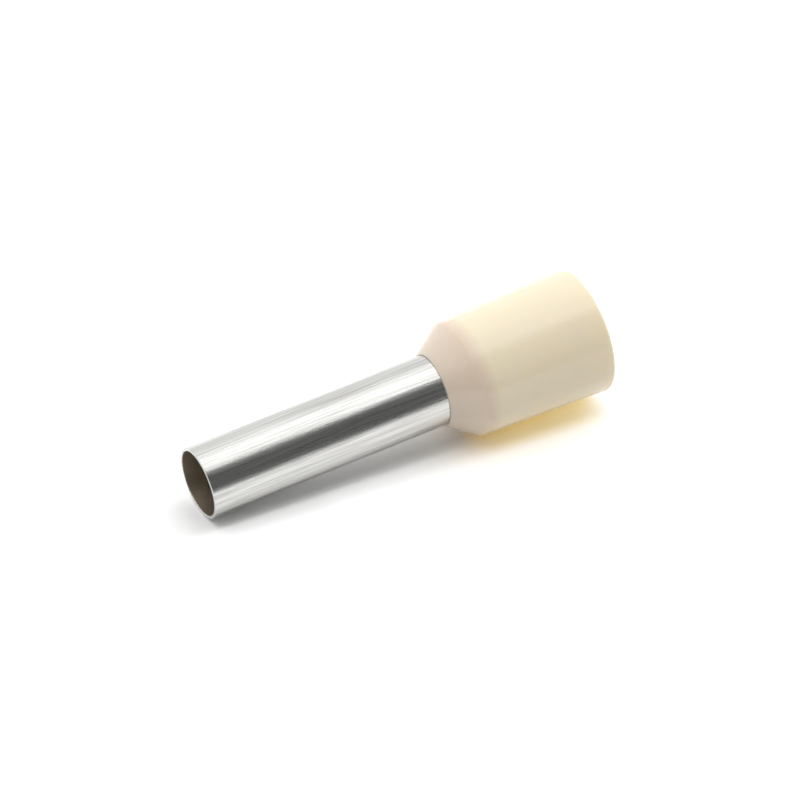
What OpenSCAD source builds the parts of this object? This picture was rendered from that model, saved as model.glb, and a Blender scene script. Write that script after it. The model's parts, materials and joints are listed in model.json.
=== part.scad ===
// Insulated wire ferrule (bootlace ferrule) for a 10 mm2 stranded wire.
//
// Two pieces: a drawn metal sleeve whose rear end is flared like a funnel, and a moulded
// collar that grips the sleeve behind its flare and takes the end of the wire's insulation.
// The part stands on the collar's mouth. Z = 0 is the mouth's ring face, the common axis is
// +Z, the wire goes in from below and the sleeve's free tip is on top.

/* [Sleeve] */
// Inner diameter of the tube, which takes the bare strands
bore_d = 4.5; // [4.2:0.1:4.8]
// Wall of the tube and of its flare
sleeve_wall = 0.2; // [0.14:0.01:0.26]
// Length of tube that stands out of the collar
pin_len = 17.4; // [8:0.1:26]
// Rounding of both edges of the tip
tip_round = 0.08; // [0.02:0.01:0.12]
// Radius inside the bend where the tube turns into its flare
bend_r = 0.3; // [0.1:0.05:0.4]

/* [Collar] */
// Length of the collar, from its mouth to its lip
collar_len = 11.5; // [9:0.1:15]
// Inner diameter of the socket, which takes the wire's insulation
socket_d = 7.2; // [6.6:0.1:8]
// Wall of the barrel at the shoulder
barrel_wall = 0.42; // [0.3:0.02:0.6]
// Draft of the barrel's outside, in degrees: it grows towards the mouth
outer_draft = 1.7; // [0:0.1:3]
// Slope of the neck and of the flare, in degrees from the axis
neck_angle = 35.5; // [30:0.5:42]
// Wall of the neck, square to its slope
neck_wall = 0.32; // [0.26:0.02:0.5]
// Width of the lip's ring face round the tube
lip_w = 0.1; // [0.06:0.01:0.2]

/* [Mouth] */
// Wall of the collar at its mouth, between the lead-in and the outside
mouth_wall = 0.42; // [0.36:0.02:0.6]
// Depth of the lead-in, which opens from the socket to the mouth
lead_in = 2; // [1:0.1:4]

/* [Roundings] */
// Outer edge between barrel and neck
shoulder_round = 0.6; // [0.2:0.05:1]
// Inner corner between socket and neck
corner_round = 0.2; // [0.05:0.05:0.4]
// Outer edge of the mouth
rim_round = 0.2; // [0.08:0.02:0.24]
// Inner edge of the mouth
inner_rim_round = 0.08; // [0.02:0.02:0.1]
// Outer edge of the lip
lip_round = 0.04; // [0.01:0.01:0.05]

/* [Clearances] */
// Gap between the sleeve and the collar that is moulded on it
grip_gap = 0; // [0:0.01:0.05]
// Gap between the flare's rim and the socket's wall
flare_gap = 0.1; // [0.05:0.01:0.3]

/* [Hidden] */
$fn = 128;
ARC_STEPS = 10;

bore_r = bore_d / 2;
tube_r = bore_r + sleeve_wall;
neck_bore_r = tube_r + grip_gap;
lip_r = neck_bore_r + lip_w;
socket_r = socket_d / 2;
flare_r = socket_r - flare_gap;
shoulder_r = socket_r + barrel_wall;
shoulder_z = neck_z(shoulder_r, 0);
mouth_r = shoulder_r + shoulder_z * tan(outer_draft);
tip_z = collar_len + pin_len;
tip_fillet = min(tip_round, 0.48 * sleeve_wall);
// Depth of the flare's outer face below the neck's outer face, square to the slope
seat = neck_wall + grip_gap;

// Height at which a cone, lying `depth` inside the neck's outer face, has radius r
function neck_z(r, depth) =
    collar_len - (depth + (r - lip_r) * cos(neck_angle)) / sin(neck_angle);

function turned(v, angle) =
    [v.x * cos(angle) - v.y * sin(angle), v.x * sin(angle) + v.y * cos(angle)];

// Points of the arc of radius r that rounds corner b on the way from a to c
function corner_arc(a, b, c, r) =
    let (u = (a - b) / norm(a - b))
    let (v = (c - b) / norm(c - b))
    let (half = acos(u * v) / 2)
    let (centre = b + (u + v) / norm(u + v) * r / sin(half))
    let (start = b + u * r / tan(half) - centre)
    let (sweep = -sign(cross(u, v)) * (180 - 2 * half))
    [for (i = [0:ARC_STEPS]) centre + turned(start, sweep * i / ARC_STEPS)];

// Closed outline through corners [r, z, rounding]
function rounded(corners) =
    let (count = len(corners))
    let (at = [for (p = corners) [p[0], p[1]]])
    [for (i = [0:count - 1])
        let (before = at[(i + count - 1) % count])
        let (after = at[(i + 1) % count])
        each corners[i][2] > 0 ? corner_arc(before, at[i], after, corners[i][2]) : [at[i]]];

module revolved(corners) {
    rotate_extrude() polygon(rounded(corners));
}

// Drawn tube, flared at the rear so that it lies on the collar's inner cone
module sleeve() {
    rim_z = neck_z(flare_r, seat);
    color("silver") revolved([
        [tube_r, tip_z, tip_fillet],
        [tube_r, neck_z(tube_r, seat), bend_r],
        [flare_r, rim_z, 0],
        [flare_r - sleeve_wall * cos(neck_angle), rim_z - sleeve_wall * sin(neck_angle), 0],
        [bore_r, neck_z(bore_r, seat + sleeve_wall), bend_r + sleeve_wall],
        [bore_r, tip_z, tip_fillet],
    ]);
}

// Moulded collar: mouth ring, drafted barrel, shoulder and conical neck with a thin lip
module collar() {
    color("wheat") revolved([
        [neck_bore_r, collar_len, 0],
        [neck_bore_r, neck_z(neck_bore_r, neck_wall), bend_r - grip_gap],
        [socket_r, neck_z(socket_r, neck_wall), corner_round],
        [socket_r, lead_in, 0],
        [mouth_r - mouth_wall, 0, inner_rim_round],
        [mouth_r, 0, rim_round],
        [shoulder_r, shoulder_z, shoulder_round],
        [lip_r, collar_len, lip_round],
    ]);
}

sleeve();
collar();
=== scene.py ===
"""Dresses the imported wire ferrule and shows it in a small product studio.

The ferrule is a tin-plated copper sleeve in an ivory moulded collar. The model stands on the
collar's mouth with the common axis along +Z. The studio shows it as it lies on a white table,
so the table leans against the model: it touches the sleeve's tip and the collar's shoulder.
Lengths named in millimetres are turned to metres by MM.
"""
import json
import logging
import math
from dataclasses import dataclass
from enum import Enum

import bmesh
import bpy
from mathutils import Matrix, Vector


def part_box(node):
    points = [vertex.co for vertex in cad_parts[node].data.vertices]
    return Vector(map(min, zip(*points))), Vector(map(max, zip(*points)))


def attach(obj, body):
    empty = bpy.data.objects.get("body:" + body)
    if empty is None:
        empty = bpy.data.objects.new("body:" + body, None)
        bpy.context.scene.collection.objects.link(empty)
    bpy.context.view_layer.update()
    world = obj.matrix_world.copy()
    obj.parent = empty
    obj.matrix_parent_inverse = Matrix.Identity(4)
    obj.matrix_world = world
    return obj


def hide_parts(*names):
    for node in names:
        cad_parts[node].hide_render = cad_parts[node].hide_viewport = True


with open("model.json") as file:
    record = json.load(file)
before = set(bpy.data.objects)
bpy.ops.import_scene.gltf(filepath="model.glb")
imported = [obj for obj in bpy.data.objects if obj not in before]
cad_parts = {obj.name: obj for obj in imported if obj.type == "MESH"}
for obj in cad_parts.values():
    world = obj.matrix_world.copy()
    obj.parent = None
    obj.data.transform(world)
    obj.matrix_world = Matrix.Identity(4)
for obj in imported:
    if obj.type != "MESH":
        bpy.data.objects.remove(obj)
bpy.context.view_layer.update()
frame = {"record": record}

MM = 0.001
BODY = "root"
LOG = logging.getLogger("ferrule")

Rgba = tuple[float, float, float, float]


class Wall(Enum):
    """Material slots of a turned piece, by the side that they face."""

    OUTSIDE = 0
    INSIDE = 1


def linear(hex_colour: str, alpha: float = 1.0) -> Rgba:
    """Turn an sRGB hex colour into linear RGBA.

    Args:
        hex_colour: colour such as "#E8DFC8".
        alpha: opacity.

    Returns:
        Red, green, blue and alpha, as Blender's sockets take them.
    """
    parts = [int(hex_colour[i : i + 2], 16) / 255 for i in (1, 3, 5)]
    return tuple(c / 12.92 if c <= 0.04045 else ((c + 0.055) / 1.055) ** 2.4 for c in parts) + (alpha,)


def add_node(
    tree: bpy.types.NodeTree, kind: str, settings: dict | None = None, links: dict | None = None
) -> bpy.types.Node:
    """Add a node with its settings and links.

    Args:
        tree: node tree that gets the node.
        kind: Blender's name of the node type.
        settings: values by property name, or by an input's name or number.
        links: output sockets by the name or number of the input that they feed.

    Returns:
        The new node.
    """
    node = tree.nodes.new(kind)
    for key, value in (settings or {}).items():
        if isinstance(key, str) and hasattr(node, key):
            setattr(node, key, value)
        else:
            node.inputs[key].default_value = value
    for key, socket in (links or {}).items():
        tree.links.new(socket, node.inputs[key])
    return node


def new_material(name: str) -> tuple[bpy.types.Material, bpy.types.NodeTree]:
    """Return a material with an empty node tree, and that tree."""
    material = bpy.data.materials.new(name)
    material.use_nodes = True
    material.node_tree.nodes.clear()
    return material, material.node_tree


def blended(
    tree: bpy.types.NodeTree, first: str, second: str, share: bpy.types.NodeSocket
) -> bpy.types.NodeSocket:
    """Blend two colours.

    Args:
        tree: node tree that gets the node.
        first: hex colour where the share is 0.
        second: hex colour where the share is 1.
        share: socket with the second colour's share.

    Returns:
        The socket with the blended colour.
    """
    mix = add_node(
        tree, "ShaderNodeMix", {"data_type": "RGBA", 6: linear(first), 7: linear(second)}, {0: share}
    )
    return mix.outputs[2]


def noise(
    tree: bpy.types.NodeTree,
    place: bpy.types.NodeSocket,
    size_mm: float,
    detail: float,
    stretch: float = 1.0,
    roughness: float = 0.5,
) -> bpy.types.NodeSocket:
    """Add a noise pattern.

    Args:
        tree: node tree that gets the nodes.
        place: socket with the coordinates, in metres.
        size_mm: size of the pattern's grains.
        detail: number of finer layers.
        stretch: how many times longer the grains are along the axis than across it.
        roughness: how strong each finer layer is.

    Returns:
        The socket with the pattern, from 0 to 1.
    """
    if stretch != 1.0:
        place = add_node(
            tree, "ShaderNodeMapping", {"Scale": (1.0, 1.0, 1.0 / stretch)}, {"Vector": place}
        ).outputs["Vector"]
    return add_node(
        tree, "ShaderNodeTexNoise",
        {"Scale": 1.0 / (size_mm * MM), "Detail": detail, "Roughness": roughness},
        {"Vector": place},
    ).outputs["Fac"]


def spread(
    tree: bpy.types.NodeTree,
    value: bpy.types.NodeSocket,
    result: tuple[float, float],
    span: tuple[float, float] = (0.0, 1.0),
) -> bpy.types.NodeSocket:
    """Map a value from one range to another and hold it there.

    Args:
        tree: node tree that gets the node.
        value: socket with the value.
        result: results at the span's start and end.
        span: range of the value.

    Returns:
        The socket with the result.
    """
    return add_node(
        tree, "ShaderNodeMapRange",
        {"From Min": span[0], "From Max": span[1], "To Min": result[0], "To Max": result[1]},
        {"Value": value},
    ).outputs["Result"]


def bump(
    tree: bpy.types.NodeTree,
    height: bpy.types.NodeSocket,
    depth_mm: float,
    under: bpy.types.NodeSocket | None = None,
) -> bpy.types.NodeSocket:
    """Add relief to a surface.

    Args:
        tree: node tree that gets the node.
        height: socket with the relief's pattern.
        depth_mm: depth of the relief.
        under: socket with the relief that this one lies on, if any.

    Returns:
        The socket with the normal.
    """
    links = {"Height": height} if under is None else {"Height": height, "Normal": under}
    settings = {"Strength": 1.0, "Distance": depth_mm * MM}
    return add_node(tree, "ShaderNodeBump", settings, links).outputs["Normal"]


def mount(name: str) -> dict:
    """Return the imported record's mount of that name."""
    return next(m for m in frame["record"]["mounts"] if m["name"] == name)


@dataclass(frozen=True)
class TinPlate:
    """Tin plated on a drawn copper tube: bright, with the die's fine lines along the tube."""

    name: str = "tin_plate_drawn"
    colour: str = "#E2E2E0"  # tin is a little warmer than chrome, and greyer than silver
    roughness: float = 0.22
    shine_range: tuple[float, float] = (0.8, 1.3)  # share of the roughness, over the die lines
    line_pitch_mm: float = 0.11  # die lines are near 0.02 mm apart: drawn coarser, so that they show
    line_stretch: float = 60.0
    grain_mm: float = 0.10  # plating grains are near 0.01 mm: drawn coarser, so that they show
    line_depth_mm: float = 0.003
    grain_depth_mm: float = 0.008
    worn: str = "#C2C1BD"  # the bottom of the die lines
    worn_span: tuple[float, float] = (0.36, 0.64)  # part of the pattern where the shade changes
    scratch_pitch_mm: float = 0.3  # single scratches from the drawing die and from handling
    scratch_stretch: float = 90.0
    scratch_span: tuple[float, float] = (0.66, 0.72)  # part of the pattern that is a scratch
    scratch_roughness: float = 0.25  # added where a scratch runs, so that it catches the lamps

    def build(self) -> bpy.types.Material:
        """Return the material of the sleeve's outside."""
        material, tree = new_material(self.name)
        place = add_node(tree, "ShaderNodeTexCoord").outputs["Object"]
        lines = noise(tree, place, self.line_pitch_mm, 3.0, self.line_stretch, roughness=0.6)
        grain = noise(tree, place, self.grain_mm, 2.0)
        streaks = noise(tree, place, self.scratch_pitch_mm, 1.0, self.scratch_stretch)
        scratch = spread(tree, streaks, (0.0, self.scratch_roughness), self.scratch_span)
        drawn = spread(tree, lines, tuple(self.roughness * share for share in self.shine_range))
        shine = add_node(tree, "ShaderNodeMath", {"operation": "ADD"}, {0: drawn, 1: scratch}).outputs[0]
        wear = spread(tree, lines, (0.0, 1.0), self.worn_span)
        tint = blended(tree, self.colour, self.worn, wear)
        normal = bump(tree, grain, self.grain_depth_mm, bump(tree, lines, self.line_depth_mm))
        shader = add_node(
            tree, "ShaderNodeBsdfPrincipled",
            {"Metallic": 1.0},
            {"Base Color": tint, "Roughness": shine, "Normal": normal},
        )
        add_node(tree, "ShaderNodeOutputMaterial", links={"Surface": shader.outputs["BSDF"]})
        return material


@dataclass(frozen=True)
class BoreTin:
    """The same tin plate inside the tube, in a duller and browner colour than outside."""

    name: str = "tin_plate_bore"
    colour: str = "#B5AA98"
    roughness: float = 0.5
    shine_range: tuple[float, float] = (0.85, 1.15)
    grain_mm: float = 0.15
    grain_depth_mm: float = 0.002

    def build(self) -> bpy.types.Material:
        """Return the material of the sleeve's inside."""
        material, tree = new_material(self.name)
        place = add_node(tree, "ShaderNodeTexCoord").outputs["Object"]
        grain = noise(tree, place, self.grain_mm, 3.0)
        shine = spread(tree, grain, tuple(self.roughness * share for share in self.shine_range))
        normal = bump(tree, grain, self.grain_depth_mm)
        shader = add_node(
            tree, "ShaderNodeBsdfPrincipled",
            {"Base Color": linear(self.colour), "Metallic": 1.0},
            {"Roughness": shine, "Normal": normal},
        )
        add_node(tree, "ShaderNodeOutputMaterial", links={"Surface": shader.outputs["BSDF"]})
        return material


@dataclass(frozen=True)
class IvoryPolypropylene:
    """Moulded polypropylene, ivory and semi-gloss: thin walls let light through and glow warm."""

    name: str = "ivory_polypropylene_moulded"
    colour: str = "#F2E8D0"
    roughness: float = 0.1
    shine_range: tuple[float, float] = (0.85, 1.15)
    scatter_mm: tuple[float, float, float] = (0.42, 0.38, 0.27)
    straight: str = "#EEE2B6"  # share of a lamp's light that passes a surface, by colour
    wave_mm: float = 2.2  # sink and flow waves of a thin moulding
    wave_depth_mm: float = 0.003
    skin_mm: float = 0.12  # mould skin is finer than this: drawn coarser, so that it shows
    skin_depth_mm: float = 0.00025
    flare_shade: str = "#E6D6C5"  # painted shade on the neck, by height: the metal flare behind the thin plastic lets less light through
    flare_from_mm: float = 8.5  # height where the painted shade begins
    flare_to_mm: float = 9.3  # height from which the painted shade is full

    def build(self) -> bpy.types.Material:
        """Return the material of the collar."""
        material, tree = new_material(self.name)
        place = add_node(tree, "ShaderNodeTexCoord").outputs["Object"]
        height = add_node(tree, "ShaderNodeSeparateXYZ", links={"Vector": place}).outputs["Z"]
        # painted shade over the flare: the neck is coloured darker and pinker by height, standing in for
        # less light passing the thin plastic
        flare_shade_share = spread(
            tree, height, (0.0, 1.0), (self.flare_from_mm * MM, self.flare_to_mm * MM)
        )
        tint = blended(tree, self.colour, self.flare_shade, flare_shade_share)
        wave = noise(tree, place, self.wave_mm, 1.0)
        skin = noise(tree, place, self.skin_mm, 2.0)
        shine = spread(tree, skin, tuple(self.roughness * share for share in self.shine_range))
        normal = bump(tree, skin, self.skin_depth_mm, bump(tree, wave, self.wave_depth_mm))
        shader = add_node(
            tree, "ShaderNodeBsdfPrincipled",
            {
                "IOR": 1.49,
                "Subsurface Weight": 1.0,
                "Subsurface Radius": self.scatter_mm,
                "Subsurface Scale": MM,
            },
            {"Base Color": tint, "Roughness": shine, "Normal": normal},
        )
        to_lamp = add_node(tree, "ShaderNodeLightPath").outputs["Is Shadow Ray"]
        straight = add_node(tree, "ShaderNodeBsdfTransparent", {"Color": linear(self.straight)})
        mixed = add_node(
            tree, "ShaderNodeMixShader",
            links={0: to_lamp, 1: shader.outputs["BSDF"], 2: straight.outputs["BSDF"]},
        )
        add_node(tree, "ShaderNodeOutputMaterial", links={"Surface": mixed.outputs["Shader"]})
        return material


@dataclass(frozen=True)
class Corner:
    """A corner of a turned outline.

    Attributes:
        radius: distance from the axis, in mm.
        height: place along the axis, in mm.
        rounding: radius of the arc that rounds the corner, in mm; 0 leaves it sharp.
        steps: number of faces across that arc.
    """

    radius: float
    height: float
    rounding: float = 0.0
    steps: int = 6

    def holds(self, vertex: bmesh.types.BMVert, slack_mm: float = 1e-4) -> bool:
        """Tell whether a vertex lies on this corner's ring."""
        radius = math.hypot(vertex.co.x, vertex.co.y) / MM
        return abs(radius - self.radius) < slack_mm and abs(vertex.co.z / MM - self.height) < slack_mm


def turned(name: str, corners: list[Corner], segments: int = 256) -> bpy.types.Object:
    """Turn a closed outline round the Z axis and round its corners.

    Args:
        name: name of the piece.
        corners: the outline's corners, in order.
        segments: number of faces round the axis.

    Returns:
        The piece, linked to the scene, with smooth faces.
    """
    shape = bmesh.new()
    verts = [shape.verts.new((c.radius * MM, 0.0, c.height * MM)) for c in corners]
    sides = [shape.edges.new((verts[i - 1], verts[i])) for i in range(len(verts))]
    bmesh.ops.spin(
        shape, geom=verts + sides, cent=(0, 0, 0), axis=(0, 0, 1), dvec=(0, 0, 0),
        angle=math.tau, steps=segments, use_merge=True,
    )
    bmesh.ops.remove_doubles(shape, verts=shape.verts, dist=1e-9)
    bmesh.ops.recalc_face_normals(shape, faces=shape.faces)
    for i, corner in enumerate(corners):
        if corner.rounding == 0:
            continue
        here, before, after = (
            Vector((c.radius, c.height)) for c in (corner, corners[i - 1], corners[(i + 1) % len(corners)])
        )
        half = (before - here).angle(after - here) / 2
        ring = [e for e in shape.edges if all(corner.holds(v) for v in e.verts)]
        bmesh.ops.bevel(
            shape, geom=ring, offset=corner.rounding / math.tan(half) * MM, offset_type="OFFSET",
            segments=corner.steps, profile=0.5, affect="EDGES", clamp_overlap=True, material=-1,
        )
    for face in shape.faces:
        face.smooth = True
    mesh = bpy.data.meshes.new(name)
    shape.to_mesh(mesh)
    shape.free()
    piece = bpy.data.objects.new(name, mesh)
    bpy.context.scene.collection.objects.link(piece)
    weighted = piece.modifiers.new("even_normals", "WEIGHTED_NORMAL")
    weighted.weight = 100
    return piece


@dataclass
class Collar:
    """The moulded collar: mouth ring, drafted barrel, shoulder and conical neck with a thin lip.

    All sizes are in mm, and angles in degrees.
    """

    length: float
    grip_r: float
    socket_r: float
    lead_in: float
    barrel_wall: float = 0.42
    draft: float = 1.7
    neck_angle: float = 35.5
    neck_wall: float = 0.32
    lip_w: float = 0.1
    mouth_wall: float = 0.42
    bend_r: float = 0.3
    shoulder_round: float = 0.6
    corner_round: float = 0.2
    rim_round: float = 0.2
    inner_rim_round: float = 0.08
    lip_round: float = 0.04

    @classmethod
    def from_frame(cls) -> "Collar":
        """Take the collar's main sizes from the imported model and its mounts."""
        socket = mount("insulation_socket")
        return cls(
            length=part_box("collar")[1].z / MM,
            grip_r=mount("terminal_pin")["dims"]["r_mm"],
            socket_r=socket["dims"]["r_mm"],
            lead_in=socket["pos_m"][2] / MM - socket["dims"]["length_mm"] / 2,
        )

    @property
    def shoulder(self) -> Corner:
        """Return the sharp corner where the barrel meets the neck."""
        radius = self.socket_r + self.barrel_wall
        return Corner(radius, self.neck_height(radius, 0.0), self.shoulder_round, 12)

    def neck_height(self, radius: float, depth: float) -> float:
        """Find the height of a cone that lies parallel to the neck's outer face.

        Args:
            radius: radius at which the height is wanted.
            depth: how far the cone lies inside the neck's outer face, square to it.

        Returns:
            The height above the mouth.
        """
        slope = math.radians(self.neck_angle)
        lip_r = self.grip_r + self.lip_w
        return self.length - (depth + (radius - lip_r) * math.cos(slope)) / math.sin(slope)

    def build(self) -> bpy.types.Object:
        """Return the collar's mesh."""
        mouth_r = self.shoulder.radius + self.shoulder.height * math.tan(math.radians(self.draft))
        return turned(
            "collar_moulding",
            [
                Corner(self.grip_r, self.length),
                Corner(self.grip_r, self.neck_height(self.grip_r, self.neck_wall), self.bend_r, 8),
                Corner(self.socket_r, self.neck_height(self.socket_r, self.neck_wall), self.corner_round, 6),
                Corner(self.socket_r, self.lead_in),
                Corner(mouth_r - self.mouth_wall, 0.0, self.inner_rim_round, 5),
                Corner(mouth_r, 0.0, self.rim_round, 8),
                self.shoulder,
                Corner(self.grip_r + self.lip_w, self.length, self.lip_round, 4),
            ],
        )

    def dress(self, piece: bpy.types.Object) -> None:
        """Give the collar its plastic and put it in the place of the CAD node."""
        piece.data.materials.append(IvoryPolypropylene().build())
        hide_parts("collar")
        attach(piece, BODY)


@dataclass
class Sleeve:
    """The drawn tube, flared at the rear so that it lies on the collar's inner cone.

    All sizes are in mm.
    """

    bore_r: float
    tube_r: float
    flare_r: float
    tip: float
    tip_round: float = 0.08
    clear: float = 0.02  # the flare stands this far off its seat, so that light can pass between

    @classmethod
    def from_frame(cls) -> "Sleeve":
        """Take the sleeve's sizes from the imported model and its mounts."""
        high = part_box("sleeve")[1]
        return cls(
            bore_r=mount("conductor_bore")["dims"]["r_mm"],
            tube_r=mount("terminal_pin")["dims"]["r_mm"],
            flare_r=high.x / MM,
            tip=high.z / MM,
        )

    @property
    def wall(self) -> float:
        """Return the tube's wall."""
        return self.tube_r - self.bore_r

    def build(self, collar: Collar) -> bpy.types.Object:
        """Return the sleeve's mesh, seated on the collar's inner cone."""
        slope = math.radians(collar.neck_angle)
        seat = collar.neck_wall + self.clear
        rim = collar.neck_height(self.flare_r, seat)
        piece = turned(
            "sleeve_tube",
            [
                Corner(self.tube_r, self.tip, self.tip_round, 6),
                Corner(self.tube_r, collar.neck_height(self.tube_r, seat), collar.bend_r, 8),
                Corner(self.flare_r, rim),
                Corner(self.flare_r - self.wall * math.cos(slope), rim - self.wall * math.sin(slope)),
                Corner(
                    self.bore_r,
                    collar.neck_height(self.bore_r, seat + self.wall),
                    collar.bend_r + self.wall,
                    8,
                ),
                Corner(self.bore_r, self.tip, self.tip_round, 6),
            ],
        )
        for face in piece.data.polygons:
            outward = Vector((face.center.x, face.center.y, 0.0)).dot(face.normal) > 0
            deep = face.center.z / MM < self.tip - 0.5 * self.tip_round
            face.material_index = (Wall.INSIDE if deep and not outward else Wall.OUTSIDE).value
        return piece

    def dress(self, piece: bpy.types.Object) -> None:
        """Give the sleeve its plating and put it in the place of the CAD node."""
        piece.data.materials.append(TinPlate().build())
        piece.data.materials.append(BoreTin().build())
        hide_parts("sleeve")
        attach(piece, BODY)


@dataclass
class LyingPose:
    """How the ferrule lies on the table, as axes of the table in the model's own frame.

    Attributes:
        lean: angle between the common axis and the table, in degrees.
        heading: angle from the picture's right to the axis, tip to mouth, on the table.
        facing: azimuth round the model's axis that the table's surface faces.
        foot: how far the table lies from the model's origin, in metres.
    """

    lean: float
    heading: float = 28.59
    facing: float = 45.0
    foot: float = 0.0

    @classmethod
    def of(cls, sleeve: Sleeve, collar: Collar, pieces: list[bpy.types.Object]) -> "LyingPose":
        """Lay the ferrule on its tip and its shoulder.

        Args:
            sleeve: gives the tip that touches the table.
            collar: gives the shoulder that touches the table.
            pieces: the meshes that the table may touch but not cut.

        Returns:
            The pose.
        """
        drop = sleeve.tip - collar.shoulder.height
        pose = cls(lean=math.degrees(math.atan2(collar.shoulder.radius - sleeve.tube_r, drop)))
        pose.foot = max(-pose.up.dot(v.co) for p in pieces for v in p.data.vertices)
        return pose

    @property
    def up(self) -> Vector:
        """Return the table's normal in the model's frame."""
        lean, facing = math.radians(self.lean), math.radians(self.facing)
        outward = Vector((math.sin(facing), -math.cos(facing), 0.0))
        return outward * math.cos(lean) - Vector((0.0, 0.0, 1.0)) * math.sin(lean)

    def table(self, above: float) -> Matrix:
        """Return the table's frame: right, away and up, with its origin under a point of the axis.

        Args:
            above: height of that point over the mouth, in mm.

        Returns:
            A matrix from the table's coordinates to the model's frame, in metres.
        """
        up = self.up
        back = Vector((0.0, 0.0, -1.0))
        along = (back - up * back.dot(up)).normalized()
        turn = math.radians(self.heading)
        right = along * math.cos(turn) - up.cross(along) * math.sin(turn)
        away = up.cross(right)
        point = Vector((0.0, 0.0, above * MM))
        origin = point - up * (point.dot(up) + self.foot)
        return Matrix.Translation(origin) @ Matrix((right, away, up)).transposed().to_4x4()


@dataclass(frozen=True)
class Panel:
    """A flat lamp that hangs level over the table.

    Attributes:
        name: name of the lamp.
        front: where it begins, in degrees over the horizon on the camera's side.
        back: where it ends, measured the same way.
        glow: its radiance, where 1 is white.
        mirrored: whether glossy surfaces show it.
        start: where it begins along the ferrule, in mm from its middle towards the tip if negative.
        end: where it ends along the ferrule, in mm.
    """

    name: str
    front: float
    back: float
    glow: float
    mirrored: bool = True
    start: float = -200.0
    end: float = 500.0


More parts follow.
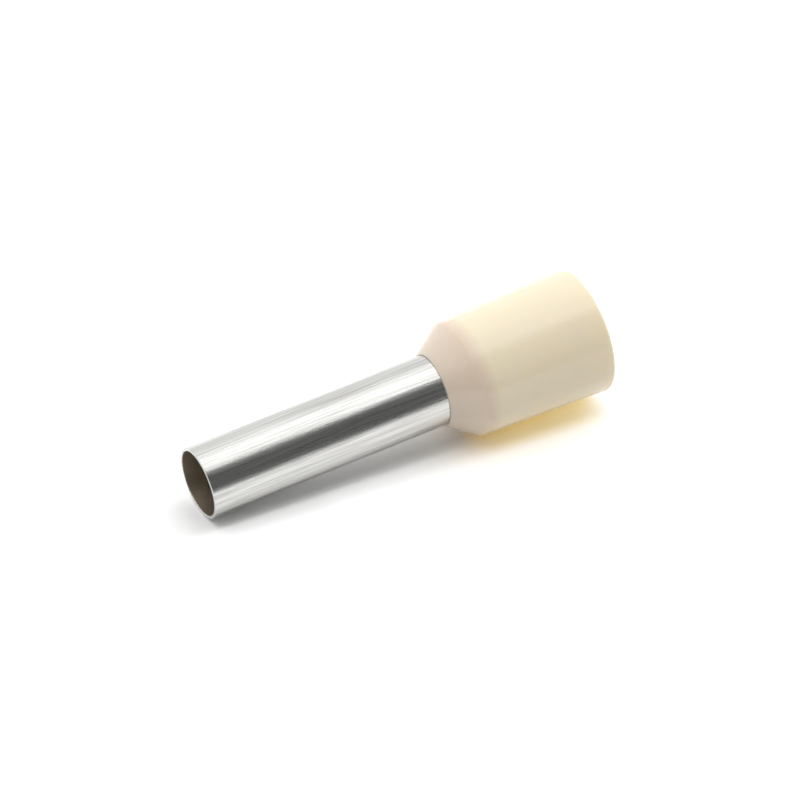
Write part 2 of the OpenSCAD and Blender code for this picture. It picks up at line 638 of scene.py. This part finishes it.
@dataclass
class Studio:
    """White table, softbox with two bright tubes and a dim skirt, and a dark cloth in front.

    The table's frame has X to the picture's right, Y away from the camera and Z up, and the rig
    is turned on it so that its X runs along the ferrule from tip to mouth. Lengths are in mm,
    angles in degrees.
    """

    table: Matrix
    heading: float
    table_front: float = 130.0
    table_back: float = 900.0
    table_side: float = 700.0
    table_colour: float = 0.886  # white card
    table_shown: float = 1.20  # the same card for the camera, so that the bare table is white
    table_mirrored: float = 1.08  # and for reflections
    ceiling: float = 300.0  # height of the lamps
    cloth_away: float = 450.0  # how far the cloth's foot lies on the camera's side
    cloth_drop: float = 150.0  # how far it hangs below the table
    cloth_over: float = 5.0  # how far its top lies over the lamps
    cloth_glow: float = 0.12
    room: float = 0.88  # light of the white room on matt surfaces
    panels: tuple[Panel, ...] = (
        Panel("softbox", 66.5, 125.0, 0.30),
        Panel("tube_front", 78.0, 85.0, 3.6),
        Panel("tube_back", 98.0, 108.0, 0.8),
        Panel("skirt", 50.0, 66.5, 0.24),
        Panel("key", 66.0, 112.0, 0.72, mirrored=False),  # the softbox's light on matt surfaces
    )

    @property
    def rig(self) -> Matrix:
        """Return the lamps' frame: along the ferrule, away from the camera and up."""
        return self.table @ Matrix.Rotation(math.radians(self.heading), 4, "Z")

    def across(self, angle: float) -> float:
        """Return where a lamp's edge hangs that is seen at an angle over the front horizon."""
        return -self.ceiling / math.tan(math.radians(angle))

    def plane(self, name: str, base: Matrix, corners: list[Vector]) -> bpy.types.Object:
        """Make a one-faced mesh as a stage object.

        Args:
            name: name of the object.
            base: frame of the corners.
            corners: corners in mm, in order.

        Returns:
            The object, linked to the scene.
        """
        shape = bmesh.new()
        shape.faces.new([shape.verts.new(base @ (c * MM)) for c in corners])
        mesh = bpy.data.meshes.new(name)
        shape.to_mesh(mesh)
        shape.free()
        obj = bpy.data.objects.new(name, mesh)
        bpy.context.scene.collection.objects.link(obj)
        return obj

    def seen(
        self, tree: bpy.types.NodeTree, other: float, mirrored: float, shown: float
    ) -> bpy.types.NodeSocket:
        """Return a value that depends on what kind of ray asks for it.

        Args:
            tree: node tree that gets the nodes.
            other: value for rays from matt surfaces.
            mirrored: value for glossy and transmission rays.
            shown: value for camera rays.

        Returns:
            The socket with the value.
        """
        path = add_node(tree, "ShaderNodeLightPath").outputs
        shiny = add_node(
            tree, "ShaderNodeMath", {"operation": "MAXIMUM"},
            {0: path["Is Glossy Ray"], 1: path["Is Transmission Ray"]},
        ).outputs[0]
        first = add_node(
            tree, "ShaderNodeMapRange", {"To Min": other, "To Max": mirrored}, {"Value": shiny}
        ).outputs["Result"]
        return add_node(
            tree, "ShaderNodeMapRange", {"To Max": shown}, {"Value": path["Is Camera Ray"], "To Min": first}
        ).outputs["Result"]

    def build_table(self) -> None:
        """Lay the table: matt white from above, and clear from behind, so that it hides nothing."""
        side, front, back = self.table_side, -self.table_front, self.table_back
        rim = ((-side, front), (side, front), (side, back), (-side, back))
        top = self.plane("table", self.table, [Vector((x, y, 0.0)) for x, y in rim])
        material, tree = new_material("table_matt_white")
        white = self.seen(tree, self.table_colour, self.table_mirrored, self.table_shown)
        matt = add_node(tree, "ShaderNodeBsdfDiffuse", links={"Color": white}).outputs["BSDF"]
        clear = add_node(tree, "ShaderNodeBsdfTransparent").outputs["BSDF"]
        behind = add_node(tree, "ShaderNodeNewGeometry").outputs["Backfacing"]
        surface = add_node(tree, "ShaderNodeMixShader", links={0: behind, 1: matt, 2: clear}).outputs[0]
        add_node(tree, "ShaderNodeOutputMaterial", links={"Surface": surface})
        top.data.materials.append(material)

    def build_cloth(self) -> None:
        """Hang the dark cloth between the table's front edge and the softbox."""
        head = (self.across(self.panels[0].front), self.ceiling + self.cloth_over)
        foot = (-self.cloth_away, -self.cloth_drop)
        left, right = -self.table_side, self.table_side
        rim = ((left, *foot), (left, *head), (right, *head), (right, *foot))
        cloth = self.plane("dark_cloth", self.rig, [Vector(c) for c in rim])
        cloth.visible_camera = False
        material, tree = new_material("dark_cloth")
        glow = add_node(tree, "ShaderNodeEmission", {"Strength": self.cloth_glow}).outputs["Emission"]
        add_node(tree, "ShaderNodeOutputMaterial", links={"Surface": glow})
        cloth.data.materials.append(material)

    def hang(self, panel: Panel) -> None:
        """Hang a lamp that shines straight down."""
        light = bpy.data.lights.new(panel.name, "AREA")
        light.shape = "RECTANGLE"
        front, back = self.across(panel.front), self.across(panel.back)
        light.size, light.size_y = (panel.end - panel.start) * MM, (back - front) * MM
        light.energy = panel.glow * math.pi * light.size * light.size_y
        lamp = bpy.data.objects.new(panel.name, light)
        lamp.visible_glossy = panel.mirrored
        bpy.context.scene.collection.objects.link(lamp)
        middle = Vector(((panel.start + panel.end) / 2, (front + back) / 2, self.ceiling))
        lamp.matrix_world = self.rig @ Matrix.Translation(middle * MM)

    def build_room(self) -> None:
        """Surround the table with a white room, which lights matt surfaces less than it shows."""
        world = bpy.data.worlds.new("white_room")
        world.use_nodes = True
        tree = world.node_tree
        tree.nodes.clear()
        sky = add_node(
            tree, "ShaderNodeBackground", {"Color": linear("#FFFFFF")},
            {"Strength": self.seen(tree, self.room, 1.0, 1.0)},
        )
        add_node(tree, "ShaderNodeOutputWorld", links={"Surface": sky.outputs["Background"]})
        bpy.context.scene.world = world

    def build(self) -> None:
        """Set up the whole studio."""
        self.build_table()
        self.build_cloth()
        self.build_room()
        for panel in self.panels:
            self.hang(panel)


@dataclass
class ProductCamera:
    """A long lens that looks down on the table at the ferrule.

    Attributes:
        elevation: angle of the view above the table, in degrees.
        distance: from the lens to the ferrule's axis, in mm.
        lens: focal length for a 36 mm sensor, in mm.
        aim: height over the mouth of the point of the axis that the lens is aimed at, in mm.
        beside: how far the lens is aimed to the left of that point and above it, in mm.
        sensor: width of the sensor, in mm.
        clip: nearest and farthest distance that shows, in metres.
    """

    elevation: float = 36.67
    distance: float = 405.0
    lens: float = 277.7
    aim: float = 13.85
    beside: tuple[float, float] = (0.061, 0.178)
    sensor: float = 36.0
    clip: tuple[float, float] = (0.01, 10.0)

    def build(self, pose: LyingPose) -> None:
        """Set the camera up and make it the scene's camera."""
        data = bpy.data.cameras.new("product_camera")
        data.lens = self.lens
        data.sensor_width = self.sensor
        data.clip_start, data.clip_end = self.clip
        camera = bpy.data.objects.new("product_camera", data)
        bpy.context.scene.collection.objects.link(camera)
        turn = pose.table(self.aim).to_3x3() @ Matrix.Rotation(math.radians(90.0 - self.elevation), 3, "X")
        right, above, back = turn.col
        target = Vector((0.0, 0.0, self.aim * MM)) + (above * self.beside[1] - right * self.beside[0]) * MM
        camera.matrix_world = Matrix.Translation(target + back * self.distance * MM) @ turn.to_4x4()
        bpy.context.scene.camera = camera


def main() -> None:
    """Build the ferrule's pieces, the studio and the camera."""
    logging.basicConfig(level=logging.INFO, format="%(name)s: %(message)s")
    scene = bpy.context.scene
    scene.view_settings.view_transform = "Standard"

    collar = Collar.from_frame()
    sleeve = Sleeve.from_frame()
    pieces = [collar.build(), sleeve.build(collar)]
    pose = LyingPose.of(sleeve, collar, pieces)
    collar.dress(pieces[0])
    sleeve.dress(pieces[1])
    for piece in pieces:
        LOG.info("%s: %d faces", piece.name, len(piece.data.polygons))

    camera = ProductCamera()
    camera.build(pose)
    Studio(pose.table(camera.aim), pose.heading).build()
    LOG.info("lies at %.2f degrees, table %.3f mm from the origin", pose.lean, pose.foot / MM)


if __name__ == "__main__":
    main()
